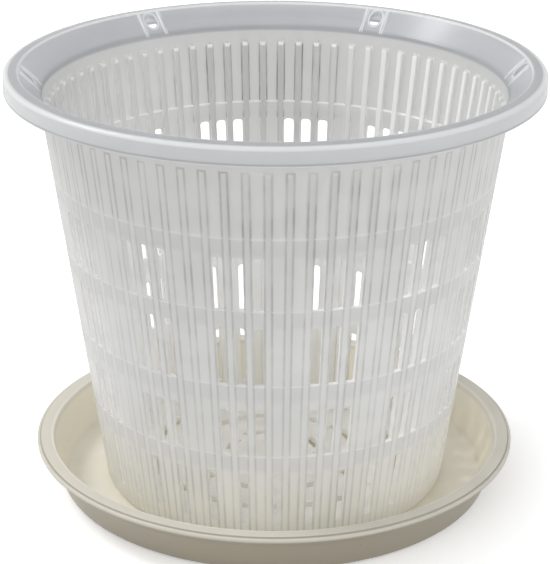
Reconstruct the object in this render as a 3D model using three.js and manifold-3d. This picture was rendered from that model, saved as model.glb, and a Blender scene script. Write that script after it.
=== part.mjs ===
// Slotted orchid pot standing in its drip saucer.
// Millimetres, +Z up, front towards -Y, origin under the middle of the saucer.
import * as THREE from 'three';
import { mergeVertices } from 'three/addons/utils/BufferGeometryUtils.js';
import Module from 'manifold-3d';

const wasm = await Module();
wasm.setup();

// Pot wall
const footRadius = 52.6; // outside of the wall at the foot
const wallSpread = 17.4; // how far the wall leans out between the foot and the rim
const wallThickness = 1.1;
const footCorner = 1.6; // bevel between the wall and the foot
const footFlat = 1; // width of the flat ring that the pot stands on

// Floor: a raised plate with rings of curved drain slots between straight spokes
const floorRise = 2.7; // foot to the underside of the floor
const floorThickness = 1.6;
const drainMargin = 14.1; // inside of the wall to the middle of the outermost slots
const drainPitch = 12; // from one ring of slots to the next
const drainLeast = 10; // the rings of slots end this far from the middle
const drainWidth = 3;
const spokeCount = 8;
const spokeWidth = 3.4;

// Bands of the wall, from the floor up: slots, three rows of windows, and a plain top
const sillHeight = 2.2; // floor to the bottom of the slots
const slotHeight = 17.6;
const slotHead = 5.9; // plain wall between the slots and the lowest ledge
const windowHeights = [15.6, 19, 16.7]; // the windows stand on the ledges
const windowHeads = [8, 5.2, 5.7]; // plain wall between the windows and the next ledge
const plainTop = 30.9; // highest ledge to the crest of the rim

// Columns: an upright rib inside the wall between every two
const columnsPerQuarter = 18;
const ribWidth = 2;
const ribDepth = 1.1;
const ribPoint = 0.9; // height of the gable at a rib's top end
const ribTopGap = 1.5; // rib tops to the blend under the rim
const ledgeDepth = 0.6;

// Openings: windows in groups parted by blank columns, slots in every second column
const ribToOpening = 0.2; // wall left between a rib and an opening
const windowCorner = 1; // bevel of a window's top corners
const groupSize = 3;
const groupBlanks = 2; // blank columns between two groups
const middleBlanks = 1; // blank columns each side of the middle of the front and back
const slotStep = 2;

// Pot rim: a skirt outside, a narrow land on top, and a cone down to the wall
const rimReach = 10; // wall to the outside of the skirt
const skirtHeight = 5.8;
const skirtThickness = 1.3;
const landWidth = 4.4;
const landRise = 0.5; // the land climbs this much from its edge to its crest
const rimEdge = 0.9; // bevel between the skirt and the land
const coneDrop = 6.6; // crest to the top of the wall
const coneThickness = 1.8; // measured upright
const coneBlend = 3; // bevel between the cone and the wall

// Hanging holes through the rim cone, each between two low ribs
const holeCount = 6;
const holeDiameter = 4;
const holeReach = 3; // wall to the middle of a hole
const holeRibGap = 1.05; // edge of a hole to its ribs
const holeRibWidth = 0.9;
const holeRibRise = 0.8;
const holeRibInset = 0.6; // inside of the wall to the lower end of these ribs

// Saucer
const dripRing = 12.1; // pot's foot to the inside of the saucer's wall
const saucerHeight = 15;
const saucerWall = 1.5;
const saucerFloor = 1.4;
const saucerCorner = 3.4; // rounding between the floor and the wall
const saucerSpread = 4.2; // how far the wall leans out up to the lip
const lipReach = 4; // wall to the edge of the lip
const lipEdge = 1.8; // thickness of the lip
const lipRound = 0.6; // bevel of the lip's edges
const lipFlare = 3.2; // height of the flare under the lip

// Fit and mesh
const seatClearance = 0.3; // pot's foot to the saucer's floor
const overlap = 0.5; // how far joined solids run into each other
const cutReach = 3; // how far a cutter runs past what it cuts
const curveSteps = 2;
const drainSteps = 1; // steps in half the length of a drain slot
const holeSides = 10;
const saucerSides = 60;
const flatTolerance = 0.001; // flat faces are merged within this

// Heights above the foot
const floorTop = floorRise + floorThickness;
const slotBottom = floorTop + sillHeight;
const ledges = [slotBottom + slotHeight + slotHead];
windowHeights.forEach((height, row) => ledges.push(ledges[row] + height + windowHeads[row]));
const potHeight = ledges[windowHeights.length] + plainTop;
const wallTop = potHeight - coneDrop;
const ribTop = wallTop - coneBlend - ribTopGap;

// Radii and angles
const wallTopRadius = footRadius + wallSpread;
const wallSlope = wallSpread / wallTop;
const wallLean = Math.atan(wallSlope);
const outerRadius = (z) => footRadius + wallSlope * z;
const innerRadius = (z) => outerRadius(z) - wallThickness;
const rimRadius = wallTopRadius + rimReach;
const crestRadius = rimRadius - landWidth;
const columnCount = 4 * columnsPerQuarter;
const columnAngle = (2 * Math.PI) / columnCount;

// Height of the cone's upper side at a radius
const coneFoot = innerRadius(wallTop);
const coneSlope = coneDrop / (crestRadius - coneFoot);
const coneHeight = (r) => wallTop + coneSlope * (r - coneFoot);

// Bevel between the cone and the wall, and its height at a radius
const blendTop = coneFoot + coneBlend;
const blendFoot = innerRadius(wallTop - coneBlend);
const blendRise = coneHeight(blendTop) - (wallTop - coneBlend);
const blendSlope = blendRise / (blendTop - blendFoot);
const blendHeight = (r) => coneHeight(blendTop) - blendSlope * (blendTop - r);

// Closed manifold solid from a three.js geometry
function solid(geometry) {
  geometry.deleteAttribute('normal');
  geometry.deleteAttribute('uv');
  const merged = mergeVertices(geometry);
  const index = merged.index.array;
  const triangles = [];
  for (let i = 0; i < index.length; i += 3) {
    const [a, b, c] = index.slice(i, i + 3);
    if (a !== b && b !== c && c !== a) triangles.push(a, b, c);
  }
  const vertProperties = new Float32Array(merged.attributes.position.array);
  const triVerts = new Uint32Array(triangles);
  return new wasm.Manifold(new wasm.Mesh({ numProp: 3, vertProperties, triVerts }));
}

function joined(solids) {
  return solids.reduce((all, one) => all.add(one));
}

// Named three.js mesh from a manifold solid
function named(name, body, material) {
  const { numProp, vertProperties, triVerts } = body.getMesh();
  const geometry = new THREE.BufferGeometry();
  geometry.setAttribute('position', new THREE.BufferAttribute(vertProperties, numProp));
  geometry.setIndex(new THREE.BufferAttribute(triVerts, 1));
  geometry.computeVertexNormals();
  const mesh = new THREE.Mesh(geometry, material);
  mesh.name = name;
  return mesh;
}

// Solid of revolution about Z from a profile of radius and height, both ends on the axis
function turned(path, sides) {
  const geometry = new THREE.LatheGeometry(path.getPoints(curveSteps), sides);
  return solid(geometry.rotateX(Math.PI / 2));
}

// Turns a solid about Z, with angle 0 at the front and growing towards +X
function turnedTo(body, angle) {
  return body.rotate([0, 0, THREE.MathUtils.radToDeg(angle)]);
}

// Top ends of an upright plate, as points of a place across and a drop below the top
const flatEnd = (half) => [[half, 0], [-half, 0]];
const gableEnd = (half, drop) => [[half, drop], [0, 0], [-half, drop]];
const bevelEnd = (half, drop) => [[half, drop], [half - drop, 0], [drop - half, 0], [-half, drop]];

// Upright plate at the front that leans with the wall, between two heights.
// It reaches inwards and outwards from the inside of the wall.
function wallPlate(half, bottom, top, end, inwards, outwards) {
  const slant = 1 / Math.cos(wallLean);
  const outline = new THREE.Shape();
  outline.moveTo(-half, bottom * slant);
  outline.lineTo(half, bottom * slant);
  for (const [across, drop] of end) outline.lineTo(across, top * slant - drop);
  const depth = inwards + outwards;
  const geometry = new THREE.ExtrudeGeometry(outline, { depth, bevelEnabled: false });
  geometry.translate(0, 0, -inwards);
  geometry.rotateX(Math.PI / 2 + wallLean);
  geometry.translate(0, -innerRadius(0), 0);
  return solid(geometry);
}

// Upright section drawn as radius and height, given a width across the front
function frontSection(points, width) {
  const outline = new THREE.Shape(points.map(([r, z]) => new THREE.Vector2(r, z)));
  const geometry = new THREE.ExtrudeGeometry(outline, { depth: width, bevelEnabled: false });
  geometry.translate(0, 0, -width / 2);
  geometry.rotateX(Math.PI / 2);
  geometry.rotateZ(-Math.PI / 2);
  return solid(geometry);
}

// Wall, rim and floor turned in one piece.
// Each ledge has an upright face below it that runs out into the leaning wall.
function potShell() {
  const skirtInside = rimRadius - skirtThickness;
  const underWall = wallTop + coneSlope * wallThickness - coneThickness;
  const edgeTop = potHeight - landRise;
  const footInside = footRadius - footCorner - footFlat;
  const ledgeFace = ledgeDepth / wallSlope;
  const path = new THREE.Path();
  path.moveTo(0, floorRise);
  path.lineTo(footInside, floorRise);
  path.lineTo(footInside, 0);
  path.lineTo(footInside + footFlat, 0);
  path.lineTo(outerRadius(footCorner), footCorner);
  path.lineTo(outerRadius(underWall), underWall);
  path.lineTo(crestRadius, potHeight - coneThickness);
  path.lineTo(skirtInside, edgeTop - coneThickness);
  path.lineTo(skirtInside, potHeight - skirtHeight);
  path.lineTo(rimRadius, potHeight - skirtHeight);
  path.lineTo(rimRadius, edgeTop - rimEdge);
  path.lineTo(rimRadius - rimEdge, edgeTop);
  path.lineTo(crestRadius, potHeight);
  path.lineTo(blendTop, coneHeight(blendTop));
  path.lineTo(blendFoot, wallTop - coneBlend);
  for (const top of [...ledges].reverse()) {
    path.lineTo(innerRadius(top), top);
    path.lineTo(innerRadius(top) - ledgeDepth, top);
    path.lineTo(innerRadius(top - ledgeFace), top - ledgeFace);
  }
  path.lineTo(innerRadius(floorTop), floorTop);
  path.lineTo(0, floorTop);
  return turned(path, columnCount);
}

// One rib inside the wall, run into the wall and the floor
function wallRib() {
  const half = ribWidth / 2;
  const end = gableEnd(half, ribPoint);
  return wallPlate(half, floorTop - overlap, ribTop, end, ribDepth, wallThickness / 2);
}

// Half the width of an opening, which leaves a narrow margin of wall beside the ribs
const openingHalf = (bottom) => (innerRadius(bottom) * columnAngle - ribWidth) / 2 - ribToOpening;

// Cutter for an opening that stands at a height
function openingCutter(bottom, height, end) {
  const half = openingHalf(bottom);
  return wallPlate(half, bottom, bottom + height, end, cutReach, wallThickness + cutReach);
}

// Columns of a quarter that hold windows, counted from the front or the back to the side.
// The last group of each quarter meets the next quarter's, so the side shows four windows.
function windowColumns() {
  const columns = [];
  for (let first = middleBlanks; first < columnsPerQuarter; first += groupSize + groupBlanks) {
    const end = Math.min(first + groupSize, columnsPerQuarter);
    for (let column = first; column < end; column += 1) columns.push(column);
  }
  return columns;
}

// Angles of the middles of all windows in one row
function windowAngles() {
  const angles = [];
  for (const column of windowColumns()) {
    const angle = (column + 0.5) * columnAngle;
    angles.push(angle, -angle, Math.PI - angle, Math.PI + angle);
  }
  return angles;
}

function windowCutters() {
  const cutters = [];
  windowHeights.forEach((height, row) => {
    const half = openingHalf(ledges[row]);
    const end = bevelEnd(half, Math.min(windowCorner, half));
    const cutter = openingCutter(ledges[row], height, end);
    for (const angle of windowAngles()) cutters.push(turnedTo(cutter, angle));
  });
  return cutters;
}

function slotCutters() {
  const cutters = [];
  const cutter = openingCutter(slotBottom, slotHeight, flatEnd(openingHalf(slotBottom)));
  for (let column = 0; column < columnCount; column += slotStep) {
    cutters.push(turnedTo(cutter, (column - 0.5) * columnAngle));
  }
  return cutters;
}

// Curved drain slots in the floor, parted by spokes of one width
function drainCutters() {
  const cutters = [];
  const outermost = innerRadius(floorTop) - drainMargin;
  for (let radius = outermost; radius > drainLeast; radius -= drainPitch) {
    const half = Math.PI / spokeCount - spokeWidth / (2 * radius);
    const outline = new THREE.Shape();
    outline.absarc(0, 0, radius + drainWidth / 2, -half, half, false);
    outline.absarc(0, 0, radius - drainWidth / 2, half, -half, true);
    const geometry = new THREE.ExtrudeGeometry(outline, {
      depth: floorThickness + 2 * overlap,
      bevelEnabled: false,
      curveSegments: drainSteps,
    });
    geometry.translate(0, 0, floorRise - overlap);
    const cutter = solid(geometry);
    for (let i = 0; i < spokeCount; i += 1) {
      cutters.push(turnedTo(cutter, (2 * Math.PI * (i + 0.5)) / spokeCount));
    }
  }
  return cutters;
}

// Angles of the hanging holes, on the ribs, with one at each side
function holeAngles() {
  const angles = [];
  for (let i = 0; i < holeCount; i += 1) angles.push((2 * Math.PI * (i + 0.5)) / holeCount);
  return angles;
}

function holeCutters() {
  const height = coneDrop + coneThickness + 2 * cutReach;
  const geometry = new THREE.CylinderGeometry(holeDiameter / 2, holeDiameter / 2, height, holeSides);
  geometry.rotateX(Math.PI / 2);
  geometry.translate(0, -(wallTopRadius + holeReach), potHeight - coneDrop / 2);
  const cutter = solid(geometry);
  return holeAngles().map((angle) => turnedTo(cutter, angle));
}

// Pair of low ribs beside each hanging hole, down the cone and its blend, no higher than the crest
function holeRibs() {
  const inner = coneFoot + holeRibInset;
  const outer = crestRadius - holeRibRise / coneSlope;
  const points = [
    [outer, coneHeight(outer) - overlap],
    [outer, coneHeight(outer) + holeRibRise],
    [blendTop, coneHeight(blendTop) + holeRibRise],
    [inner, blendHeight(inner) + holeRibRise],
    [inner, blendHeight(inner) - overlap],
    [blendTop, coneHeight(blendTop) - overlap],
  ];
  const rib = frontSection(points, holeRibWidth);
  const offset = (holeDiameter + holeRibWidth) / 2 + holeRibGap;
  const ribs = [];
  for (const angle of holeAngles()) {
    for (const side of [-1, 1]) ribs.push(turnedTo(rib.translate([side * offset, 0, 0]), angle));
  }
  return ribs;
}

function slottedPot() {
  const rib = wallRib();
  const added = [potShell(), ...holeRibs()];
  for (let i = 0; i < columnCount; i += 1) added.push(turnedTo(rib, i * columnAngle));
  const cut = [...windowCutters(), ...slotCutters(), ...drainCutters(), ...holeCutters()];
  return joined(added).subtract(joined(cut)).asOriginal().simplify(flatTolerance);
}

// Saucer turned in one piece: flat floor, leaning wall, flare and lip
function saucerShell() {
  const innerFoot = footRadius + dripRing;
  const innerNeck = innerFoot + saucerSpread;
  const outerFoot = innerFoot + saucerWall;
  const outerNeck = innerNeck + saucerWall;
  const lipRadius = outerNeck + lipReach;
  const lipUnder = saucerHeight - lipEdge;
  const round = Math.min(lipRound, lipEdge / 2);
  const path = new THREE.Path();
  path.moveTo(0, 0);
  path.lineTo(outerFoot - saucerCorner, 0);
  path.quadraticCurveTo(outerFoot, 0, outerFoot, saucerCorner);
  path.lineTo(outerNeck, lipUnder - lipFlare);
  path.quadraticCurveTo(outerNeck, lipUnder, lipRadius - round, lipUnder);
  path.lineTo(lipRadius, lipUnder + round);
  path.lineTo(lipRadius, saucerHeight - round);
  path.lineTo(lipRadius - round, saucerHeight);
  path.lineTo(innerNeck + round, saucerHeight);
  path.lineTo(innerNeck, saucerHeight - round);
  path.lineTo(innerFoot, saucerFloor + saucerCorner);
  path.quadraticCurveTo(innerFoot, saucerFloor, innerFoot - saucerCorner, saucerFloor);
  path.lineTo(0, saucerFloor);
  return turned(path, saucerSides);
}

// Milky see-through plastic for the pot, cream plastic for the saucer
const milkyPlastic = new THREE.MeshStandardMaterial({ color: 0xcbcbc8, roughness: 0.35, metalness: 0 });
const creamPlastic = new THREE.MeshStandardMaterial({ color: 0xded8c8, roughness: 0.45, metalness: 0 });

const saucer = named('saucer', saucerShell(), creamPlastic);
const pot = named('slotted_pot', slottedPot(), milkyPlastic);
pot.position.z = saucerFloor + seatClearance;

const orchidPot = new THREE.Group();
orchidPot.add(saucer, pot);

export default orchidPot;
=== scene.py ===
import math

import bmesh
import bpy
from mathutils import Matrix, Vector


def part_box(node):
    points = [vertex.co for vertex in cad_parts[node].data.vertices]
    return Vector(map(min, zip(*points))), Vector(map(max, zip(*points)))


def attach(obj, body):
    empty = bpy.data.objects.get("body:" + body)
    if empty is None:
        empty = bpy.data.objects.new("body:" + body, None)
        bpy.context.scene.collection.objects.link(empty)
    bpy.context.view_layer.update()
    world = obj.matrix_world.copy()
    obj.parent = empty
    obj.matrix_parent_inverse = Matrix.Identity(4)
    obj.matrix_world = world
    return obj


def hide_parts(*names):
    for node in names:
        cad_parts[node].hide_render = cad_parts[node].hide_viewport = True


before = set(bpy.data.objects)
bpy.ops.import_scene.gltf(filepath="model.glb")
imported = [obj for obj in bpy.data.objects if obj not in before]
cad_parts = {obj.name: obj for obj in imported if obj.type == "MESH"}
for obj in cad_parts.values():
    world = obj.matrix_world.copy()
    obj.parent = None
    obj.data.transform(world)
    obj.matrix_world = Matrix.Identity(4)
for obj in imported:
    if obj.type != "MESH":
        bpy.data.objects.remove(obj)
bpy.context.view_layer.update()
mm = 0.001
touch = 0.02                   # mm, closer than this is the same place
weld = 0.01                    # mm, points this close are merged
smoothAngle = math.radians(32)
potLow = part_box("slotted_pot")[0]
print("frame loaded")


# small helpers for working in edit mode

def clearSelection():
    if bpy.context.mode != "OBJECT":
        bpy.ops.object.mode_set(mode="OBJECT")
    bpy.ops.object.select_all(action="DESELECT")


def makeActive(piece):
    clearSelection()
    piece.select_set(True)
    bpy.context.view_layer.objects.active = piece


def startEdit(piece, kind="VERT"):
    makeActive(piece)
    bpy.ops.object.mode_set(mode="EDIT")
    bpy.ops.mesh.select_mode(type=kind)
    bpy.ops.mesh.select_all(action="SELECT")


def stopEdit():
    bpy.ops.object.mode_set(mode="OBJECT")


def pick(piece, parts, test):  # in edit mode, selects only the verts, edges or faces that pass
    bpy.ops.mesh.select_all(action="DESELECT")
    shape = bmesh.from_edit_mesh(piece.data)
    for part in getattr(shape, parts):
        if test(part):
            part.select_set(True)
    shape.select_flush_mode()
    bmesh.update_edit_mesh(piece.data)


def roundEdges(radius, steps):  # bevels the picked edges
    bpy.ops.mesh.bevel(offset=radius * mm, segments=steps)


def settle(piece):  # place goes into the mesh, object stays at the origin
    makeActive(piece)
    bpy.ops.object.transform_apply(location=True, rotation=True, scale=True)


def carve(piece, tool, how):
    cut = piece.modifiers.new("cut", "BOOLEAN")
    cut.operation = how
    cut.solver = "EXACT"
    cut.object = tool
    makeActive(piece)
    bpy.ops.object.modifier_apply(modifier=cut.name)
    bpy.data.objects.remove(tool)


def joinAll(pieces, name):
    makeActive(pieces[0])
    for piece in pieces:
        piece.select_set(True)
    if len(pieces) > 1:
        bpy.ops.object.join()
    pieces[0].name = name
    return pieces[0]


def rounded(corners):  # (radius, height, fillet, steps) corners in mm to a smooth outline
    points = []
    for i, (r, z, fillet, steps) in enumerate(corners):
        here = Vector((r, z))
        if not fillet:
            points.append(here)
            continue
        back = (Vector(corners[i - 1][:2]) - here).normalized()
        on = (Vector(corners[i + 1][:2]) - here).normalized()
        half = back.angle(on) / 2
        middle = here + (back + on).normalized() * fillet / math.sin(half)
        first = here + back * fillet / math.tan(half) - middle
        last = here + on * fillet / math.tan(half) - middle
        for k in range(steps + 1):
            points.append(middle + first.slerp(last, k / steps).normalized() * fillet)
    return points


def drawSection(name, points, x=0.0):  # upright chain of edges facing the front, points in mm
    clearSelection()
    start = points[0]
    bpy.ops.mesh.primitive_plane_add(size=mm, location=(x * mm, -start[0] * mm, start[1] * mm))
    piece = bpy.context.active_object
    piece.name = name
    startEdit(piece)
    bpy.ops.mesh.merge(type="CENTER")
    for one, two in zip(points, points[1:]):
        step = (0, (one[0] - two[0]) * mm, (two[1] - one[1]) * mm)
        bpy.ops.mesh.extrude_vertices_move(TRANSFORM_OT_translate={"value": step})
    return piece


def sectionBlock(name, points, half, middle=0.0):  # the section filled and given a width across
    piece = drawSection(name, points, middle - half)
    bpy.ops.mesh.select_all(action="SELECT")
    bpy.ops.mesh.edge_face_add()
    bpy.ops.mesh.extrude_region_move(TRANSFORM_OT_translate={"value": (2 * half * mm, 0, 0)})
    bpy.ops.mesh.select_all(action="SELECT")
    bpy.ops.mesh.normals_make_consistent(inside=False)
    stopEdit()
    settle(piece)
    return piece


# the pot, sizes in mm, heights from its foot

pot = {
    "footRadius": 52.6,
    "wallSpread": 17.4,        # how much wider the wall gets on its way up
    "wall": 1.1,
    "footInside": 50.0,
    "floorRise": 2.7,
    "floorTop": 4.3,
    "stub": 49.0,              # where the floor plate joins the wall's own strip of floor
    "slot": (6.5, 24.1),
    "slotCorner": (0.35, 4),   # radius and steps
    "windows": [(30.0, 45.6), (53.6, 72.6), (77.8, 94.5)],
    "windowCorner": (1.1, 4),
    "windowLift": 0.02,        # keeps a window's sill clear of its ledge's top
    "windowGroup": 3,          # columns with windows, side by side
    "windowPitch": 5,          # columns from one group to the next
    "cutReach": 3.0,           # how far the cutters stand out of the wall
    "ledges": [30.0, 53.6, 77.8, 100.2],
    "ledgeDepth": 0.6,
    "ledgeFace": 4.3,
    "columns": 72,
    "ribHalf": 1.0,
    "ribDepth": 1.1,
    "ribRound": (0.4, 3),
    "ribEnd": (0.8, 5),
    "ribTop": 120.0,
    "ribSink": 0.5,            # how far a rib's foot runs into the floor
    "edgeGap": 1.2,            # rib middle to the side of an opening
    "rimRadius": 80.0,
    "crest": (75.6, 131.1),
    "crestStep": 0.4,
    "landRise": 0.5,
    "skirt": 5.8,
    "skirtWall": 1.3,
    "coneWall": 1.8,
    "coneFoot": (68.9, 124.5),
    "holes": 6,
    "holeRadius": 2.0,
    "holeSides": 24,
    "holeCut": 20.0,
    "holeCircle": 73.0,
    "holeRibs": 3.5,           # from a hole's middle to the low ribs beside it
    "holeRibHalf": 0.45,
    "holeRibRise": 0.7,
    "holeRibInset": 0.2,       # from the cone's ends
    "holeRibSlope": 1.0,       # length over which it rises
    "holeRibSink": (1.4, 0.2, 1.0),       # below the cone: its foot, where it starts to show, its end
    "holeRibRound": (0.2, 2),
    "drains": [38.0, 26.0, 14.0],
    "drainWidth": 3.0,
    "spokes": 8,
    "spokeWidth": 3.4,
    "hub": 3.0,
    "fillets": {               # radius and steps of each rounded corner in the outline
        "floor": (0.8, 3),
        "ledgeUnder": (2.0, 3),
        "ledgeEdge": (0.15, 2),
        "ledgeTop": (0.12, 2),
        "coneFoot": (2.2, 6),
        "crestStep": (0.15, 2),
        "crest": (0.25, 3),
        "rimEdge": (1.2, 6),
        "skirtEnd": (0.3, 3),
        "skirtTop": (0.6, 3),
        "crestUnder": (1.0, 2),
        "coneUnder": (1.2, 3),
        "foot": (1.9, 5),
        "footInside": (0.3, 2),
        "floorUnder": (0.4, 2),
    },
}
wallSlope = pot["wallSpread"] / pot["coneFoot"][1]
columnAngle = 2 * math.pi / pot["columns"]
flatHalf = 2.6                 # half a column, unrolled
flatEdge = flatHalf - pot["edgeGap"]
flatSpare = 1.5                # the flat column starts this much too wide
flatFold = 2.1                 # an extra cut beside each rib, for a rounder wall
flatSqueeze = flatHalf / (pot["holeCircle"] * columnAngle / 2)    # flat for true width, at the holes


def outer(z):
    return pot["footRadius"] + wallSlope * z


def inner(z):
    return outer(z) - pot["wall"]


def raised(z):  # height from the foot to height in the frame
    return z + potLow.z / mm


def cone(r):
    foot, top = pot["coneFoot"], pot["crest"]
    return foot[1] + (r - foot[0]) * (top[1] - foot[1]) / (top[0] - foot[0])


def potOutline():  # each corner: radius, height, fillet, steps
    fillets = pot["fillets"]
    crest, top = pot["crest"]
    step = pot["crestStep"]
    edge = top - pot["landRise"]
    skirtIn = pot["rimRadius"] - pot["skirtWall"]
    skirtEnd = top - pot["skirt"]
    under = cone(outer(pot["coneFoot"][1])) - pot["coneWall"]
    line = [
        (pot["stub"], pot["floorTop"], 0, 0),
        (inner(pot["floorTop"]), pot["floorTop"], *fillets["floor"]),
    ]
    for z in pot["ledges"]:
        face = inner(z) - pot["ledgeDepth"]
        line += [
            (face, z - pot["ledgeFace"], *fillets["ledgeUnder"]),
            (face, z, *fillets["ledgeEdge"]),
            (inner(z), z, *fillets["ledgeTop"]),
        ]
    line += [
        (*pot["coneFoot"], *fillets["coneFoot"]),
        (crest - step / 2, cone(crest - step / 2) - step, *fillets["crestStep"]),
        (crest, top, *fillets["crest"]),
        (pot["rimRadius"], edge, *fillets["rimEdge"]),
        (pot["rimRadius"], skirtEnd, *fillets["skirtEnd"]),
        (skirtIn, skirtEnd, *fillets["skirtEnd"]),
        (skirtIn, edge - pot["coneWall"], *fillets["skirtTop"]),
        (crest, top - pot["coneWall"], *fillets["crestUnder"]),
        (outer(under), under, *fillets["coneUnder"]),
        (pot["footRadius"], 0, *fillets["foot"]),
        (pot["footInside"], 0, *fillets["footInside"]),
        (pot["footInside"], pot["floorRise"], *fillets["floorUnder"]),
        (pot["stub"], pot["floorRise"], 0, 0),
    ]
    return rounded(line)


def runsDeep(edge):  # true for an edge that runs from the front to the back
    return abs(edge.verts[0].co.y - edge.verts[1].co.y) > touch * mm


def wallRib(x):  # one rib, its inner long edges and top rounded
    low, high = pot["floorTop"] - pot["ribSink"], pot["ribTop"]
    face = [(inner(z) - pot["ribDepth"], z) for z in (low, high)]
    back = [(inner(z) + pot["wall"] / 2, z) for z in (high, low)]
    rib = sectionBlock("rib", [Vector(p) for p in face + back], pot["ribHalf"], x)
    startEdit(rib, "EDGE")

    def onFace(vert):
        return abs(-vert.co.y / mm - inner(vert.co.z / mm) + pot["ribDepth"]) < touch

    pick(rib, "edges", lambda e: all(v.co.z / mm > high - touch for v in e.verts) and runsDeep(e))
    roundEdges(*pot["ribEnd"])
    pick(rib, "edges", lambda e: all(onFace(v) for v in e.verts) and
         max(v.co.z / mm for v in e.verts) > high / 2)
    roundEdges(*pot["ribRound"])
    stopEdit()
    return rib


def openingCutter(low, high, corner):  # square below, rounded above
    front, back = outer(high) + pot["cutReach"], inner(low) - pot["cutReach"]
    line = [(front, low), (front, high), (back, high), (back, low)]
    cutter = sectionBlock("opening", [Vector(p) for p in line], flatEdge)
    startEdit(cutter, "EDGE")
    pick(cutter, "edges", lambda e: all(v.co.z / mm > high - touch for v in e.verts) and runsDeep(e))
    roundEdges(*corner)
    stopEdit()
    return cutter


def hangingHole(side):  # hole through the cone at the edge of a column, flattened like the column
    clearSelection()
    bpy.ops.mesh.primitive_cylinder_add(
        vertices=pot["holeSides"], radius=pot["holeRadius"] * mm, depth=pot["holeCut"] * mm,
        location=(side * flatHalf * mm, -pot["holeCircle"] * mm, pot["crest"][1] * mm),
        scale=(flatSqueeze, 1, 1))
    settle(bpy.context.active_object)
    return bpy.context.active_object


def holeRib(side):  # low rib beside a hanging hole
    first, last = pot["coneFoot"][0] + pot["holeRibInset"], pot["crest"][0] - pot["holeRibInset"]
    rise = pot["holeRibRise"]
    foot, start, end = pot["holeRibSink"]
    up, down = first + pot["holeRibSlope"], last - rise
    line = [(first, cone(first) - foot), (first, cone(first) - start), (up, cone(up) + rise),
            (down, cone(down) + rise), (last, cone(last) - end)]
    x = side * (flatHalf - pot["holeRibs"] * flatSqueeze)
    rib = sectionBlock("holeRib", [Vector(p) for p in line], pot["holeRibHalf"] * flatSqueeze, x)
    startEdit(rib, "EDGE")
    pick(rib, "edges", lambda e: runsDeep(e) and
         all(v.co.z / mm > cone(-v.co.y / mm) - start - touch for v in e.verts))
    roundEdges(*pot["holeRibRound"])
    stopEdit()
    return rib


def wrapColumn(column):  # bends the flat column round the axis: ribs keep their width
    turn = columnAngle / 2
    blendLow, blendHigh = pot["ribTop"], pot["coneFoot"][1]
    for vert in column.data.vertices:
        x, r, z = vert.co.x / mm, -vert.co.y / mm, vert.co.z / mm
        edgeTurn = pot["edgeGap"] / inner(min(z, blendHigh))
        aside = flatHalf - abs(x)
        if aside < pot["edgeGap"]:  # on a rib, or beside it
            narrow = turn - aside / pot["edgeGap"] * edgeTurn
        else:
            narrow = abs(x) / flatEdge * (turn - edgeTurn)
        even = abs(x) / flatHalf * turn  # evenly spread, in the rim
        share = min(max((z - blendLow) / (blendHigh - blendLow), 0), 1)
        angle = math.copysign(narrow + (even - narrow) * share, x)
        vert.co = Vector((r * math.sin(angle), -r * math.cos(angle), z)) * mm


def onSeam(vert):  # spare point on the outer face's long side edges, which a neighbour wouldn't have
    x, r, z = vert.co.x / mm, -vert.co.y / mm, vert.co.z / mm
    onSide = abs(abs(x) - flatHalf) < touch
    return onSide and abs(r - outer(z)) < touch and pot["floorRise"] < z < pot["ribTop"]


def potColumn(window, slot, hole):  # one column, unrolled, then wrapped
    column = sectionBlock("column", potOutline(), flatHalf + flatSpare)
    carve(column, joinAll([wallRib(-flatHalf), wallRib(flatHalf)], "ribs"), "UNION")
    if hole:
        carve(column, holeRib(hole), "UNION")
        carve(column, hangingHole(hole), "DIFFERENCE")
    cutters = []
    if window:
        for low, high in pot["windows"]:
            cutters.append(openingCutter(low + pot["windowLift"], high, pot["windowCorner"]))
    if slot:
        cutters.append(openingCutter(*pot["slot"], pot["slotCorner"]))
    if cutters:
        carve(column, joinAll(cutters, "cutters"), "DIFFERENCE")
    startEdit(column)
    for x in (-flatFold, -flatEdge, -flatEdge / 2, 0, flatEdge / 2, flatEdge, flatFold):
        bpy.ops.mesh.select_all(action="SELECT")
        bpy.ops.mesh.bisect(plane_co=(x * mm, 0, 0), plane_no=(1, 0, 0))
    for side in (-1, 1):
        bpy.ops.mesh.select_all(action="SELECT")
        bpy.ops.mesh.bisect(plane_co=(side * flatHalf * mm, 0, 0), plane_no=(side, 0, 0), clear_outer=True)
    pick(column, "verts", onSeam)
    bpy.ops.mesh.dissolve_verts()
    pick(column, "faces", lambda f: all(abs(v.co.y / mm + pot["stub"]) < touch for v in f.verts))
    bpy.ops.mesh.delete(type="ONLY_FACE")
    stopEdit()
    wrapColumn(column)
    return column


def hasWindow(index):  # same in each quarter, counted from front or back
    quarter = pot["columns"] // 4
    place = index % (2 * quarter)
    place = min(place, 2 * quarter - 1 - place)
    return place > 0 and (place - 1) % pot["windowPitch"] < pot["windowGroup"]


def hasHole(index):  # -1 or 1 where a hanging hole sits on the column's edge
    pitch = pot["columns"] // pot["holes"]
    place = (index - pitch // 2) % pitch
    return {0: -1, pitch - 1: 1}.get(place, 0)


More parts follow.
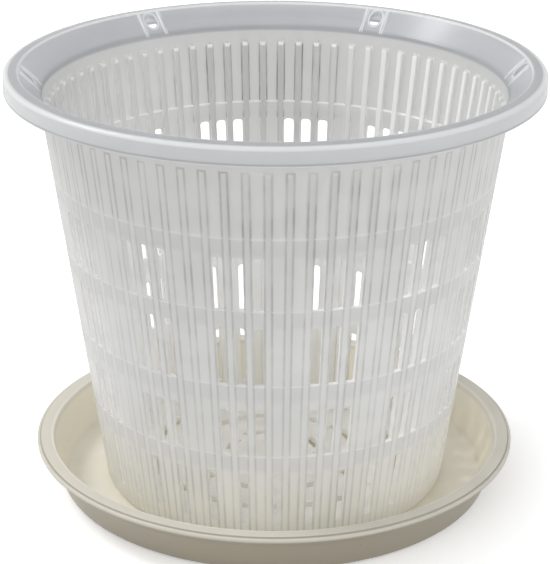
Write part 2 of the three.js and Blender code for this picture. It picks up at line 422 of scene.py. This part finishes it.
def addFloor(whole):  # plate drawn inwards from the wall's strip, drain slots removed, then thickened
    pick(whole, "verts", lambda v: abs(v.co.xy.length / mm - pot["stub"]) < touch and
         abs(v.co.z / mm - pot["floorTop"]) < touch)
    bpy.ops.mesh.duplicate()
    bpy.ops.mesh.separate(type="SELECTED")
    stopEdit()
    plate = [o for o in bpy.context.selected_objects if o != whole][0]
    half = pot["drainWidth"] / 2
    rings = [r + side * half for r in pot["drains"] for side in (1, -1)] + [pot["hub"]]
    startEdit(plate)
    now = pot["stub"]
    for r in rings:
        bpy.ops.mesh.extrude_region_move()
        bpy.ops.transform.resize(value=(r / now, r / now, 1), center_override=(0, 0, 0))
        now = r
    bpy.ops.mesh.extrude_region_move()
    bpy.ops.mesh.merge(type="CENTER")
    sector = 2 * math.pi / pot["spokes"]

    def inSlot(face):
        middle = face.calc_center_median()
        r = middle.xy.length / mm
        ring = [d for d in pot["drains"] if abs(r - d) < half]
        aside = math.atan2(middle.y, middle.x) % sector
        return ring and min(aside, sector - aside) * ring[0] > pot["spokeWidth"] / 2

    bpy.ops.mesh.select_mode(type="FACE")
    pick(plate, "faces", inSlot)
    bpy.ops.mesh.delete(type="FACE")
    bpy.ops.mesh.select_all(action="SELECT")
    thick = pot["floorTop"] - pot["floorRise"]
    bpy.ops.mesh.extrude_region_move(TRANSFORM_OT_translate={"value": (0, 0, -thick * mm)})
    pick(plate, "faces", lambda f: all(abs(v.co.xy.length / mm - pot["stub"]) < touch for v in f.verts))
    bpy.ops.mesh.delete(type="ONLY_FACE")
    stopEdit()
    joinAll([whole, plate], "orchidPot")


def buildPot():
    kinds = {}
    columns = []
    for index in range(pot["columns"]):
        kind = (hasWindow(index), index % 2 == 1, hasHole(index))
        if kind not in kinds:
            kinds[kind] = potColumn(*kind)
        copy = kinds[kind].copy()
        copy.data = kinds[kind].data.copy()
        bpy.context.scene.collection.objects.link(copy)
        copy.rotation_euler.z = (index + 0.5) * columnAngle
        columns.append(copy)
    for model in kinds.values():
        bpy.data.objects.remove(model)
    print("column kinds", len(kinds))
    whole = joinAll(columns, "orchidPot")
    settle(whole)
    startEdit(whole)
    bpy.ops.mesh.remove_doubles(threshold=weld * mm)
    addFloor(whole)
    startEdit(whole)
    bpy.ops.mesh.remove_doubles(threshold=weld * mm)
    bpy.ops.mesh.normals_make_consistent(inside=False)
    stopEdit()
    whole.location.z = potLow.z
    settle(whole)
    bpy.ops.object.shade_smooth_by_angle(angle=smoothAngle)
    return whole


# the saucer, sizes in mm

saucer = {
    "outline": [               # radius, height, fillet, steps
        (0.0, 0.0, 0, 0),
        (66.2, 0.0, 3.2, 6),              # foot
        (70.6, 10.4, 4.0, 5),             # where the wall turns out
        (73.6, 13.2, 0.6, 3),             # under the lip
        (74.4, 13.4, 0.4, 3),             # the lip's outer edge
        (74.4, 14.6, 0.35, 4),
        (73.5, 14.6, 0.12, 2),            # small step
        (73.3, 15.0, 0.18, 3),
        (69.3, 15.0, 0.9, 5),             # the lip's inner edge
        (64.8, 1.4, 2.4, 6),              # edge of the dish's floor
        (0.0, 1.4, 0, 0),
    ],
    "steps": 288,
}


def buildSaucer():
    dish = drawSection("dripSaucer", rounded(saucer["outline"]))
    bpy.ops.mesh.select_all(action="SELECT")
    bpy.ops.mesh.spin(steps=saucer["steps"], angle=2 * math.pi, center=(0, 0, 0), axis=(0, 0, 1))
    bpy.ops.mesh.select_all(action="SELECT")
    bpy.ops.mesh.remove_doubles(threshold=weld * mm)
    bpy.ops.mesh.normals_make_consistent(inside=False)
    stopEdit()
    settle(dish)
    bpy.ops.object.shade_smooth_by_angle(angle=smoothAngle)
    return dish


# materials

def newMaterial(name):
    finish = bpy.data.materials.new(name)
    finish.use_nodes = True
    finish.node_tree.nodes.clear()
    return finish, finish.node_tree.nodes, finish.node_tree.links


def feed(tree, socket, value):  # a link or a fixed value
    if isinstance(value, bpy.types.NodeSocket):
        tree.links.new(value, socket)
    else:
        socket.default_value = value


def calc(tree, how, *values):
    node = tree.nodes.new("ShaderNodeMath")
    node.operation = how
    for socket, value in zip(node.inputs, values):
        feed(tree, socket, value)
    return node.outputs[0]


def ramp(tree, value, low, high, first=0.0, last=1.0):  # smooth change between two values
    node = tree.nodes.new("ShaderNodeMapRange")
    node.interpolation_type = "SMOOTHSTEP"
    for socket, given in zip(node.inputs, (value, low, high, first, last)):
        feed(tree, socket, given)
    return node.outputs[0]


def blend(tree, factor, one, two):  # from one colour to the other
    node = tree.nodes.new("ShaderNodeMix")
    node.data_type = "RGBA"
    for place, given in ((0, factor), (6, one), (7, two)):
        feed(tree, node.inputs[place], given)
    return node.outputs[2]


def noise(tree, where, scale, detail):
    node = tree.nodes.new("ShaderNodeTexNoise")
    tree.links.new(where, node.inputs["Vector"])
    node.inputs["Scale"].default_value = scale
    node.inputs["Detail"].default_value = detail
    return node.outputs["Fac"]


def product(tree, *values):
    total = values[0]
    for value in values[1:]:
        total = calc(tree, "MULTIPLY", total, value)
    return total


def largest(tree, *values):
    top = values[0]
    for value in values[1:]:
        top = calc(tree, "MAXIMUM", top, value)
    return top


def apart(tree, value, place):  # how far a value lies from a place
    return calc(tree, "ABSOLUTE", calc(tree, "SUBTRACT", value, place))


def distance(tree, across, along):  # from the two sides of a right angle
    squares = calc(tree, "ADD", product(tree, across, across), product(tree, along, along))
    return calc(tree, "SQRT", squares)


def fall(tree, value, low, high):  # 1 below, 0 above
    return ramp(tree, value, low, high, 1, 0)


def stripe(tree, value, start, full, fade, end):  # 1 from full to fade, 0 before start and after end
    return product(tree, ramp(tree, value, start, full), fall(tree, value, fade, end))


def places(tree):  # the object's own coordinates in mm
    coords = tree.nodes.new("ShaderNodeTexCoord")
    scaled = tree.nodes.new("ShaderNodeVectorMath")
    scaled.operation = "SCALE"
    scaled.inputs["Scale"].default_value = 1 / mm
    tree.links.new(coords.outputs["Object"], scaled.inputs[0])
    split = tree.nodes.new("ShaderNodeSeparateXYZ")
    tree.links.new(scaled.outputs[0], split.inputs[0])
    x, y, z = split.outputs
    return {"where": scaled.outputs[0], "x": x, "y": y, "z": z, "r": distance(tree, x, y)}


def addGrain(tree, body, where, scale, detail, strength, depth):  # slightly uneven surface
    bump = tree.nodes.new("ShaderNodeBump")
    bump.inputs["Strength"].default_value = strength
    bump.inputs["Distance"].default_value = depth * mm
    tree.links.new(noise(tree, where, scale, detail), bump.inputs["Height"])
    tree.links.new(bump.outputs[0], body.inputs["Normal"])


milky = {
    "body": (0.90, 0.90, 0.895, 1),
    "cloudy": (0.875, 0.875, 0.87, 1),
    "saucerTint": (0.92, 0.91, 0.87, 1),        # painted warm light from the cream saucer, towards the foot
    "ledgeShade": (0.83, 0.83, 0.83, 1),        # painted shade below each ledge, where the wall is thicker
    "inside": (0.69, 0.69, 0.685, 1),     # painted shade on the inner face, in the upper half
    "line": (0.52, 0.52, 0.52, 1),        # painted shade lines along the ribs, on the outer face
    "creviceShade": (0.22, 0.22, 0.23, 1),     # painted shade along the ribs, on the inner face
    # painted shade on the ribs' inner faces, near the middle
    "ribFace": (0.57, 0.57, 0.57, 1),
    "light": (1.0, 1.0, 1.0, 1),          # painted highlights and painted light on edges, tips and faces
    "lightLow": (1.0, 0.996, 0.98, 1),    # the same painted light, near the foot
    # painted shade on the rim's up-facing cone; rimHigh is the same, lighter towards the crest
    "rim": (0.62, 0.63, 0.65, 1),
    "rimHigh": (0.69, 0.70, 0.72, 1),
    "join": (0.50, 0.51, 0.53, 1),        # painted shade where the rim's cone meets the wall
    "land": (0.54, 0.55, 0.57, 1),        # painted shade on the up-facing land, from the crest to the skirt
    # painted light on the skirt's upright outer face
    "skirt": (0.85, 0.855, 0.86, 1),
    "hemShade": (0.60, 0.61, 0.63, 1),         # painted shade along the skirt's lower edge
    "glow": 0.3,               # share of the light that is scattered on its way through
    "clear": (0.35, 0.50),     # how clear the wall is near the foot and high up
    "clearLight": 0.1,         # and where light is painted
    "rough": 0.36,
    "ior": 1.42,
    "specular": 0.3,
    "coat": (0.03, 0.45),      # on the wall and on the rim
    "coatRough": 0.2,
    "grain": (0.35, 3, 0.25, 0.2),        # noise scale and detail, strength, depth in mm
}

# bands of painted shade and painted light in the pot's plastic: start, full, fade and end, in mm

bands = {
    "creviceShade": (0.85, 0.98, 1.18, 1.35),  # painted shade, in from the outer face
    "ribFace": (1.7, 2.0, 2.6, 2.9),
    "jambLight": (0.2, 0.4, 2.4, 2.7),
    "ledge": (-6.2, -4.0, -0.4, 0.0),     # painted shade, measured above each ledge
    "join": (-1.4, -0.6, -0.2, 1.2),      # painted shade, above the cone's foot
    "hemShade": (0.25, 0.45, 0.7, 1.1),        # painted shade, above the skirt's lower edge
    "ring": (0.05, 0.15, 0.4, 0.8),       # painted highlight ring, out from a hole's edge
}

# other marks on the wall, mostly for painted shade and painted light: from and to, in mm, and in some the
# strength at both

marks = {
    # scale and detail of a noise, and how much of it shows
    "clouds": (0.11, 2),
    "cloudy": (0.35, 0.65),
    "patchy": (0.3, 0.7, 0.4, 1),
    "glints": (0.15, 2),
    "glint": (0.40, 0.53),
    # in from the outer face
    "outside": (0.1, 0.3),
    "inside": (0.5, 0.8),
    "plateDeep": (3, 4),
    # past a rib's edge
    "onRib": (-0.3, 0.0),
    "line": (0.1, 0.5),
    "jambMiddle": 0.1,
    "jambLight": (0.2, 0.3, 0.6, 0),
    "creviceReach": (0.19, 0.5),          # below and above the top ledge
    "creviceShade": (0.5, 1),                  # as a share of its reach
    # above each ledge, for the painted highlight along its top
    "ledgeMiddle": 0.1,
    "ledge": (0.1, 0.45),
    "ledgeStrength": (0.5, 1),            # on the outer face and on the inner face
    # above the top ledge
    "creviceWider": (-0.3, 0.3),
    "lineStronger": (-2, 2),
    # above the top windows, the ribs and the floor
    "jambTop": (0, 1),
    "creviceTop": (-1.2, -0.6),
    "tipHighlight": (-1.6, -0.8),
    "plate": (0.1, 0.6),
    # above the ground
    "upper": (60, 100),
    "saucerTint": (4, 46, 0.8, 0),
    "lineHigh": (30, 90, 0.45, 0.85),
    "lineLow": (22, 34, 0.6, 0),
    "footLight": (8, 32, 0.6, 0),
    "insideLight": (24, 44, 0.6, 0),
    "lightHigh": (20, 60),
    "clear": (8, 70),
    # to either side of the middle
    "lineOff": (30, 52, 1, 0.45),
    "creviceOff": (15, 45, 1, 0.3),
    "ribFaceOff": (12, 36, 1, 0.1),
    "jambOff": (12, 36, 0, 0.8),
    # to the right of the middle, and behind it, where painted light falls on the rib faces and the foot
    "ribFaceRight": (12, 45, 0, 0.9),
    "footRight": (5, 48),
    "ribFaceBack": (-5, 10),
}

# the same for the rim

rimMarks = {
    # above the cone's foot
    "rim": (-1.6, -0.6),
    "holeRibFoot": (-0.4, 0.2),
    # above the crest
    "rimHigh": (-5.3, -1.3),
    "crestTop": (-1.0, -0.4),
    # above the skirt's lower edge, for its painted highlight
    "lowest": (0.15, 0.3, 0.8, 0),
    # out from the cone's foot
    "joinEnd": (1.6, 3.1),
    # out from the crest
    "land": (0.0, 0.8),
    "holeRibEnd": (-0.4, 0.0),
    "crestMiddle": -0.15,
    "crest": (0.1, 0.4, 0.8, 0),
    # out from the rim's outer edge
    "skirt": (-1.8, -1.4),
    "edge": (-1.0, -0.78, 0, 0.7),        # out and up together
    # beside the middle of a hole's rib, for the painted highlights on the hole ribs and round each hole
    "holeRib": (0.1, 0.35, 0.3, 1),
    "holeRibSide": (0.5, 0.65, 0.9, 0),
    "ringStrength": 0.7,
}


def potPlaces(tree):  # the same, with where that lies on the pot
    at = places(tree)
    turn = calc(tree, "ARCTAN2", at["y"], at["x"])
    fromRib = product(tree, calc(tree, "PINGPONG", turn, columnAngle / 2), at["r"])
    beside = calc(tree, "SUBTRACT", fromRib, pot["ribHalf"])
    above = calc(tree, "SUBTRACT", at["z"], raised(pot["ribTop"]))
    outerFace = calc(tree, "MULTIPLY_ADD", at["z"], wallSlope, outer(-raised(0)))
    at["turn"] = turn
    at["off"] = calc(tree, "ABSOLUTE", at["x"])                   # to either side of the middle
    at["edge"] = largest(tree, beside, above)                     # past the nearest rib's edge
    at["deep"] = calc(tree, "SUBTRACT", outerFace, at["r"])       # in from the outer face
    return at


def wallLook(tree, at):  # the wall's colour with painted shade, and where painted light goes
    z, off, edge, deep = at["z"], at["off"], at["edge"], at["deep"]
    aboveRibs = calc(tree, "SUBTRACT", z, raised(pot["ribTop"]))
    aboveLedges = calc(tree, "SUBTRACT", z, raised(pot["ledges"][-1]))
    aboveWindows = calc(tree, "SUBTRACT", z, raised(pot["windows"][-1][1]))
    aboveFloor = calc(tree, "SUBTRACT", z, raised(pot["floorTop"]))
    cloud = noise(tree, at["where"], *marks["clouds"])
    patchy = ramp(tree, cloud, *marks["patchy"])
    outside = fall(tree, deep, *marks["outside"])
    inside = ramp(tree, deep, *marks["inside"])
    upper = ramp(tree, z, *marks["upper"])
    onRib = fall(tree, edge, *marks["onRib"])
    offRib = calc(tree, "SUBTRACT", 1.0, onRib)
    fromEdge = calc(tree, "ABSOLUTE", edge)

    # painted shade below each ledge, and a painted highlight along each ledge's top
    ledgeShade = light = 0.0
    for ledge in pot["ledges"]:
        above = calc(tree, "SUBTRACT", z, raised(ledge))
        ledgeShade = largest(tree, ledgeShade, stripe(tree, above, *bands["ledge"]))
        near = apart(tree, above, marks["ledgeMiddle"])
        light = largest(tree, light, fall(tree, near, *marks["ledge"]))
    light = product(tree, light, offRib, ramp(tree, inside, 0, 1, *marks["ledgeStrength"]))

    colour = blend(tree, ramp(tree, cloud, *marks["cloudy"]), milky["body"], milky["cloudy"])
    # painted warm light from the saucer, strongest near the foot
    colour = blend(tree, ramp(tree, z, *marks["saucerTint"]), colour, milky["saucerTint"])
    # painted shade below each ledge, between the ribs
    colour = blend(tree, product(tree, ledgeShade, offRib), colour, milky["ledgeShade"])
    # painted shade on the inner face, in the upper half
    colour = blend(tree, product(tree, inside, upper), colour, milky["inside"])

    # painted shade lines along the ribs on the outer face, stronger high up and near the middle
    strong = largest(tree, ramp(tree, z, *marks["lineHigh"]), ramp(tree, z, *marks["lineLow"]))
    shown = largest(tree, ramp(tree, aboveLedges, *marks["lineStronger"]),
                    ramp(tree, off, *marks["lineOff"]))
    line = product(tree, fall(tree, fromEdge, *marks["line"]), outside, patchy, strong, shown)
    colour = blend(tree, line, colour, milky["line"])

    # painted shade in the crevices beside the ribs, on the inner face
    reach = ramp(tree, aboveLedges, *marks["creviceWider"], *marks["creviceReach"])
    near = calc(tree, "DIVIDE", fromEdge, reach)
    creviceShade = product(tree, stripe(tree, deep, *bands["creviceShade"]), fall(tree, near, *marks["creviceShade"]),
                      fall(tree, aboveRibs, *marks["creviceTop"]),
                      ramp(tree, off, *marks["creviceOff"]), patchy)
    colour = blend(tree, creviceShade, colour, milky["creviceShade"])

    # rib faces: painted shade near the middle, painted light to the right and behind
    face = product(tree, stripe(tree, deep, *bands["ribFace"]), onRib, upper)
    ribShade = product(tree, face, ramp(tree, off, *marks["ribFaceOff"]))
    colour = blend(tree, ribShade, colour, milky["ribFace"])
    ribLight = product(tree, face, ramp(tree, at["x"], *marks["ribFaceRight"]),
                  ramp(tree, at["y"], *marks["ribFaceBack"]))
    # painted highlight on the ribs' top ends, on the inner face
    tipHighlight = product(tree, inside, onRib, ramp(tree, aboveRibs, *marks["tipHighlight"]))

    # painted light on the sides of the openings
    near = apart(tree, edge, marks["jambMiddle"])
    shown = largest(tree, fall(tree, aboveWindows, *marks["jambTop"]), ramp(tree, off, *marks["jambOff"]))
    jambLight = product(tree, ramp(tree, near, *marks["jambLight"]), stripe(tree, deep, *bands["jambLight"]), shown)

    # painted light at the foot's right side, where light comes through the pot
    foot = product(tree, ramp(tree, z, *marks["footLight"]),
                   ramp(tree, at["x"], *marks["footRight"]), outside)
    # painted light on the inner face, low down
    low = product(tree, inside, ramp(tree, z, *marks["insideLight"]))
    plate = product(tree, fall(tree, aboveFloor, *marks["plate"]), ramp(tree, deep, *marks["plateDeep"]))
    # painted glints on the floor plate
    glints = noise(tree, at["where"], *marks["glints"])
    glint = product(tree, plate, ramp(tree, glints, *marks["glint"]))
    return colour, largest(tree, light, ribLight, tipHighlight, jambLight, foot, low, glint)


def rimLook(tree, at, colour, light):  # puts the rim's colours, painted shade and painted highlights over the wall's
    z, r = at["z"], at["r"]
    aboveCone = calc(tree, "SUBTRACT", z, raised(pot["coneFoot"][1]))
    aboveCrest = calc(tree, "SUBTRACT", z, raised(pot["crest"][1]))
    aboveHem = calc(tree, "ADD", aboveCrest, pot["skirt"])
    fromCone = calc(tree, "SUBTRACT", r, pot["coneFoot"][0])
    fromCrest = calc(tree, "SUBTRACT", r, pot["crest"][0])
    fromRim = calc(tree, "SUBTRACT", r, pot["rimRadius"])

    onRim = ramp(tree, aboveCone, *rimMarks["rim"])
    onSkirt = ramp(tree, fromRim, *rimMarks["skirt"])
    # rim: painted shade on the up-facing cone and land, painted light on the upright skirt
    rim = blend(tree, ramp(tree, aboveCrest, *rimMarks["rimHigh"]), milky["rim"], milky["rimHigh"])
    colour = blend(tree, onRim, colour, rim)
    # painted shade in the crease where the cone meets the wall
    join = product(tree, stripe(tree, aboveCone, *bands["join"]),
                   fall(tree, fromCone, *rimMarks["joinEnd"]))
    colour = blend(tree, join, colour, milky["join"])
    colour = blend(tree, ramp(tree, fromCrest, *rimMarks["land"]), colour, milky["land"])
    colour = blend(tree, onSkirt, colour, milky["skirt"])
    # painted shade along the skirt's lower edge
    hemShade = product(tree, stripe(tree, aboveHem, *bands["hemShade"]), onSkirt)
    colour = blend(tree, hemShade, colour, milky["hemShade"])

    # painted highlights: the crest, the rim's outer edge, the skirt's lower edge, the hole ribs and a ring
    # round each hole
    near = apart(tree, fromCrest, rimMarks["crestMiddle"])
    crest = product(tree, ramp(tree, near, *rimMarks["crest"]),
                    ramp(tree, aboveCrest, *rimMarks["crestTop"]))
    aboveEdge = calc(tree, "ADD", aboveCrest, pot["landRise"])
    edge = ramp(tree, calc(tree, "ADD", fromRim, aboveEdge), *rimMarks["edge"])
    lowest = product(tree, ramp(tree, aboveHem, *rimMarks["lowest"]), onSkirt)

    aside = product(tree, calc(tree, "PINGPONG", at["turn"], math.pi / pot["holes"]), r)
    near = apart(tree, aside, pot["holeRibs"])
    holeRibs = product(tree, ramp(tree, near, *rimMarks["holeRib"]),
                       ramp(tree, near, *rimMarks["holeRibSide"]),
                       ramp(tree, aboveCone, *rimMarks["holeRibFoot"]),
                       fall(tree, fromCrest, *rimMarks["holeRibEnd"]))
    along = calc(tree, "SUBTRACT", r, pot["holeCircle"])
    fromHole = calc(tree, "SUBTRACT", distance(tree, aside, along), pot["holeRadius"])
    ring = product(tree, stripe(tree, fromHole, *bands["ring"]), onRim, rimMarks["ringStrength"])
    return colour, largest(tree, light, crest, edge, lowest, holeRibs, ring), onRim


def milkyPlastic():
    finish, nodes, links = newMaterial("milkyPlastic")
    tree = finish.node_tree
    at = potPlaces(tree)
    colour, light = wallLook(tree, at)
    colour, light, onRim = rimLook(tree, at, colour, light)
    # colour of the painted highlights and painted light, warmer near the foot
    bright = blend(tree, ramp(tree, at["z"], *marks["lightHigh"]), milky["lightLow"], milky["light"])
    colour = blend(tree, light, colour, bright)
    clear = ramp(tree, at["z"], *marks["clear"], *milky["clear"])
    body = nodes.new("ShaderNodeBsdfPrincipled")
    body.inputs["Roughness"].default_value = milky["rough"]
    body.inputs["IOR"].default_value = milky["ior"]
    body.inputs["Specular IOR Level"].default_value = milky["specular"]
    body.inputs["Coat Roughness"].default_value = milky["coatRough"]
    links.new(ramp(tree, onRim, 0, 1, *milky["coat"]), body.inputs["Coat Weight"])
    links.new(ramp(tree, light, 0, 1, clear, milky["clearLight"]), body.inputs["Transmission Weight"])
    links.new(colour, body.inputs["Base Color"])
    addGrain(tree, body, at["where"], *milky["grain"])
    glow = nodes.new("ShaderNodeBsdfTranslucent")
    links.new(colour, glow.inputs["Color"])
    mix = nodes.new("ShaderNodeMixShader")
    mix.inputs[0].default_value = milky["glow"]
    links.new(body.outputs[0], mix.inputs[1])
    links.new(glow.outputs[0], mix.inputs[2])
    out = nodes.new("ShaderNodeOutputMaterial")
    links.new(mix.outputs[0], out.inputs[0])
    return finish


cream = {
    "body": (0.84, 0.805, 0.71, 1),
    "dull": (0.79, 0.755, 0.655, 1),
    # painted light on the dish's inner wall
    "wall": (0.90, 0.86, 0.74, 1),
    "edge": (0.80, 0.775, 0.69, 1),       # painted highlight on the rounded inner edge of the lip
    # painted shade on the up-facing lip
    "lip": (0.64, 0.61, 0.53, 1),
    "step": (0.36, 0.33, 0.27, 1),        # painted shade in the small step along the lip's outer edge
    # painted shade on the outside, under the lip
    "outside": (0.40, 0.36, 0.28, 1),
    "speck": (0.30, 0.27, 0.22, 1),
    "clouds": (0.05, 3),                  # noise scale and detail
    "dullPart": (0.35, 0.65),
    "specks": (0.45, 1),
    "speckPart": (0.80, 0.84),
    # where one colour gives way to the next, in mm
    "wallRadius": (64.6, 65.8),
    "edgeRadius": (68.6, 69.0),
    "lipRadius": (69.4, 70.4),
    "stepRadius": (73.2, 73.3, 73.5, 73.8),
    "stepHeight": (14.0, 14.4),
    "outsideRadius": (64.6, 65.2),        # at the ground
    "outsideLean": 0.35,                  # wider by this for each mm up
    "outsideTop": (13.2, 14.2),
    "rough": 0.42,
    "grain": (2.5, 2, 0.2, 0.1),          # noise scale and detail, strength, depth in mm
}


def creamPlastic():
    finish, nodes, links = newMaterial("creamPlastic")
    tree = finish.node_tree
    at = places(tree)
    where, z, r = at["where"], at["z"], at["r"]
    cloud = ramp(tree, noise(tree, where, *cream["clouds"]), *cream["dullPart"])
    colour = blend(tree, cloud, cream["body"], cream["dull"])
    # inner wall painted lighter, the lip's inner edge a painted highlight, the lip painted darker
    for part in ("wall", "edge", "lip"):
        colour = blend(tree, ramp(tree, r, *cream[part + "Radius"]), colour, cream[part])
    # painted shade in the small step on the lip
    step = product(tree, stripe(tree, r, *cream["stepRadius"]), ramp(tree, z, *cream["stepHeight"]))
    colour = blend(tree, step, colour, cream["step"])
    # painted shade on the outside, under the lip
    atGround = calc(tree, "SUBTRACT", r, product(tree, z, cream["outsideLean"]))
    below = product(tree, ramp(tree, atGround, *cream["outsideRadius"]),
                    fall(tree, z, *cream["outsideTop"]))
    colour = blend(tree, below, colour, cream["outside"])
    specks = ramp(tree, noise(tree, where, *cream["specks"]), *cream["speckPart"])
    colour = blend(tree, specks, colour, cream["speck"])
    body = nodes.new("ShaderNodeBsdfPrincipled")
    body.inputs["Roughness"].default_value = cream["rough"]
    links.new(colour, body.inputs["Base Color"])
    addGrain(tree, body, where, *cream["grain"])
    out = nodes.new("ShaderNodeOutputMaterial")
    links.new(body.outputs[0], out.inputs[0])
    return finish


# stage: camera where the photograph was taken from, pale floor, soft light

shot = {
    "focalPixels": 2035.65,
    "imageHeight": 564,
    "sensor": 36,
    "clip": 0.01,
    "distance": 0.62555,       # metres from the target
    "elevation": 21.595,       # degrees
    "azimuth": -3.48,
    "target": 0.06395,         # metres up on the pot's axis
    "roll": 0.0032,            # radians
    "shift": (0.31, -1.3),     # pixels
}


def addCamera():
    az, el = math.radians(shot["azimuth"]), math.radians(shot["elevation"])
    away = Vector((math.sin(az) * math.cos(el), -math.cos(az) * math.cos(el), math.sin(el)))
    lens = bpy.data.cameras.new("camera")
    lens.sensor_width = shot["sensor"]
    lens.lens = shot["focalPixels"] * shot["sensor"] / shot["imageHeight"]
    lens.shift_x = shot["shift"][0] / shot["imageHeight"]
    lens.shift_y = shot["shift"][1] / shot["imageHeight"]
    lens.clip_start = shot["clip"]
    camera = bpy.data.objects.new("camera", lens)
    bpy.context.scene.collection.objects.link(camera)
    camera.location = Vector((0, 0, shot["target"])) + away * shot["distance"]
    turn = (-away).to_track_quat("-Z", "Y").to_matrix() @ Matrix.Rotation(shot["roll"], 3, "Z")
    camera.rotation_euler = turn.to_euler()
    bpy.context.scene.camera = camera


room = {
    "sky": 0.72,               # how brightly the room lights the object
    "front": 0.10,             # more from the front, less from behind
    "left": 0.05,              # more from the left, less from the right
    "sides": 0.22,             # less from both sides than from the front and back
    "floor": (1.0, 1.0, 1.0, 1),
    "floorSize": 8,
    "floorDrop": 0.0002,       # just below the saucer
    "white": 0.3,              # keeps the seen floor white
    "floorBack": (0.60, 0.60, 0.59, 1),   # how much light the floor sends back up
    "aim": (0, 0, 0.06),
    "lamps": [                 # place, size, energy
        ((-0.78, 0.30, 0.95), 0.35, 5.5),
        ((0.80, -0.30, 0.25), 0.6, 1.2),
        ((-0.45, -1.20, 0.60), 1.0, 3.4),
    ],
    "bounces": (32, 16, 24),   # in all, scattered, through the plastic
}


def seen(tree):  # 1 where the camera sees it, straight, mirrored or through the plastic
    ray = tree.nodes.new("ShaderNodeLightPath")
    straight = ray.outputs["Is Camera Ray"]
    through = largest(tree, ray.outputs["Is Glossy Ray"], ray.outputs["Is Transmission Ray"])
    return largest(tree, straight, through)


def addGround():
    clearSelection()
    bpy.ops.mesh.primitive_plane_add(size=room["floorSize"], location=(0, 0, -room["floorDrop"]))
    ground = bpy.context.active_object
    ground.name = "ground"
    finish, nodes, links = newMaterial("paleFloor")
    tree = finish.node_tree
    shown = seen(tree)
    body = nodes.new("ShaderNodeBsdfDiffuse")
    links.new(blend(tree, shown, room["floorBack"], room["floor"]), body.inputs["Color"])
    white = nodes.new("ShaderNodeEmission")
    links.new(product(tree, shown, room["white"]), white.inputs["Strength"])
    both = nodes.new("ShaderNodeAddShader")
    links.new(body.outputs[0], both.inputs[0])
    links.new(white.outputs[0], both.inputs[1])
    out = nodes.new("ShaderNodeOutputMaterial")
    links.new(both.outputs[0], out.inputs[0])
    ground.data.materials.append(finish)


def addSky():
    world = bpy.data.worlds.new("softRoom")
    bpy.context.scene.world = world
    world.use_nodes = True
    tree = world.node_tree
    sky = tree.nodes["Background"]
    sky.inputs["Color"].default_value = (1, 1, 1, 1)
    coords = tree.nodes.new("ShaderNodeTexCoord")
    split = tree.nodes.new("ShaderNodeSeparateXYZ")
    tree.links.new(coords.outputs["Generated"], split.inputs[0])
    x, y = split.outputs["X"], split.outputs["Y"]
    soft = calc(tree, "MULTIPLY_ADD", y, -room["front"], room["sky"])
    soft = calc(tree, "MULTIPLY_ADD", product(tree, x, x), -room["sides"], soft)
    soft = calc(tree, "MULTIPLY_ADD", x, -room["left"], soft)
    tree.links.new(ramp(tree, seen(tree), 0, 1, soft, 1), sky.inputs["Strength"])


def addLamps():
    for place, size, energy in room["lamps"]:
        clearSelection()
        bpy.ops.object.light_add(type="AREA", location=place)
        lamp = bpy.context.active_object
        lamp.data.size = size
        lamp.data.energy = energy
        lamp.rotation_euler = (Vector(room["aim"]) - lamp.location).to_track_quat("-Z", "Y").to_euler()


def addStage():
    addGround()
    addSky()
    addLamps()


addCamera()
addStage()
print("camera and stage ready")
potPiece = buildPot()
print("pot", len(potPiece.data.polygons), "faces")
saucerPiece = buildSaucer()
print("saucer", len(saucerPiece.data.polygons), "faces")
potPiece.data.materials.append(milkyPlastic())
saucerPiece.data.materials.append(creamPlastic())
print("materials ready")
for piece, body, node, slot in ((potPiece, "pot", "slotted_pot", "pot_plastic"),
                                (saucerPiece, "saucer", "saucer", "saucer_plastic")):
    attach(piece, body)
    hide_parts(node)

bpy.context.scene.view_settings.view_transform = "Standard"
cycles = bpy.context.scene.cycles
cycles.max_bounces, cycles.diffuse_bounces, cycles.transmission_bounces = room["bounces"]
